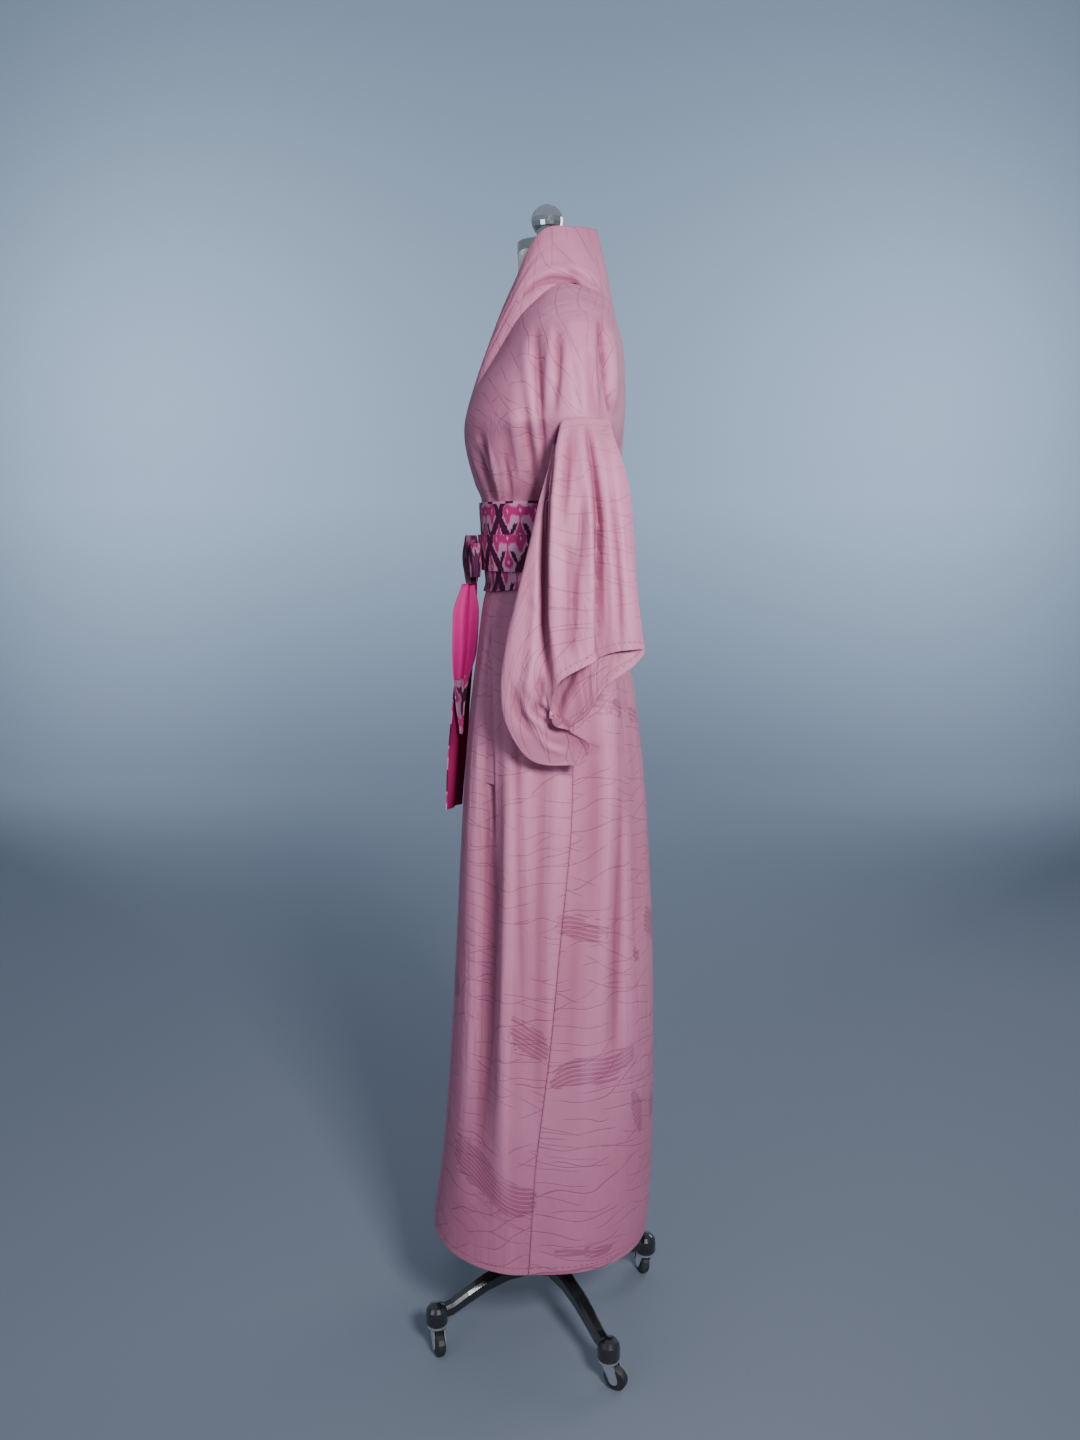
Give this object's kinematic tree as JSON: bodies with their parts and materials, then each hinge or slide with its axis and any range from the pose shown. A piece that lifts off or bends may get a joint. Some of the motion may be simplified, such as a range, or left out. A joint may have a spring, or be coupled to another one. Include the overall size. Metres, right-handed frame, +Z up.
{
  "type": "kimono robe on a dress form",
  "caption": "Long silk kimono robe with wide sleeves and a patterned sash, wrapped left over right on a limbless dress form with a rolling stand.",
  "frame": {"origin": "on the floor under the middle of the stand's column", "axes": "+Z up, -Y the wearer's front, +X the wearer's left"},
  "size_m": [0.5364, 0.4081, 1.8606],
  "materials": {
    "silk": "matte silk crepe",
    "ikat": "woven ikat",
    "magenta": "plain weave",
    "linen": "plain cloth cover",
    "chrome": "polished",
    "enamel": "black enamel",
    "tread": "moulded"
  },
  "bodies": {
    "robe_and_form": {"left_body_panel": "silk", "right_body_panel": "silk", "left_okumi": "silk", "right_okumi": "silk", "collar": "silk", "left_sleeve": "silk", "right_sleeve": "silk", "sash_upper": "ikat", "sash_middle": "ikat", "sash_lower": "ikat", "sash_knot": "ikat", "sash_loop": "ikat", "sash_long_end": "magenta", "sash_short_end": "magenta", "form_torso": "linen", "neck_cap": "chrome", "ball_finial": "chrome", "stand_column": "chrome", "stand_base": "enamel"},
    "fork_near_front": {"fork_near_front": "chrome"},
    "wheel_near_front": {"wheel_near_front": "tread"},
    "pedal_near_front": {"pedal_near_front": "chrome"},
    "fork_near_back": {"fork_near_back": "chrome"},
    "wheel_near_back": {"wheel_near_back": "tread"},
    "fork_far_back": {"fork_far_back": "chrome"},
    "wheel_far_back": {"wheel_far_back": "tread"},
    "fork_far_front": {"fork_far_front": "chrome"},
    "wheel_far_front": {"wheel_far_front": "tread"},
    "pedal_far_front": {"pedal_far_front": "chrome"}
  },
  "joints": [
    {"name": "swivel_near_front", "type": "hinge", "parent": "robe_and_form", "child": "fork_near_front", "pos_m": [0.09988, -0.18473, 0.045], "axis": [0, 0, 1], "continuous": true},
    {"name": "roll_near_front", "type": "hinge", "parent": "fork_near_front", "child": "wheel_near_front", "pos_m": [0.1121, -0.18028, 0.02], "axis": [-0.342, 0.9397, 0], "continuous": true},
    {"name": "brake_near_front", "type": "hinge", "parent": "fork_near_front", "child": "pedal_near_front", "pos_m": [0.08015, -0.19191, 0.042], "axis": [-0.342, 0.9397, 0], "range_deg": [-20, 0]},
    {"name": "swivel_near_back", "type": "hinge", "parent": "robe_and_form", "child": "fork_near_back", "pos_m": [0.18473, 0.09988, 0.045], "axis": [0, 0, 1], "continuous": true},
    {"name": "roll_near_back", "type": "hinge", "parent": "fork_near_back", "child": "wheel_near_back", "pos_m": [0.19123, 0.11114, 0.02], "axis": [-0.866, 0.5, 0], "continuous": true},
    {"name": "swivel_far_back", "type": "hinge", "parent": "robe_and_form", "child": "fork_far_back", "pos_m": [-0.09988, 0.18473, 0.045], "axis": [0, 0, 1], "continuous": true},
    {"name": "roll_far_back", "type": "hinge", "parent": "fork_far_back", "child": "wheel_far_back", "pos_m": [-0.1121, 0.18028, 0.02], "axis": [0.342, -0.9397, 0], "continuous": true},
    {"name": "swivel_far_front", "type": "hinge", "parent": "robe_and_form", "child": "fork_far_front", "pos_m": [-0.18473, -0.09988, 0.045], "axis": [0, 0, 1], "continuous": true},
    {"name": "roll_far_front", "type": "hinge", "parent": "fork_far_front", "child": "wheel_far_front", "pos_m": [-0.17823, -0.11114, 0.02], "axis": [0.866, 0.5, 0], "continuous": true},
    {"name": "brake_far_front", "type": "hinge", "parent": "fork_far_front", "child": "pedal_far_front", "pos_m": [-0.19523, -0.0817, 0.042], "axis": [0.866, 0.5, 0], "range_deg": [-20, 0]}
  ]
}
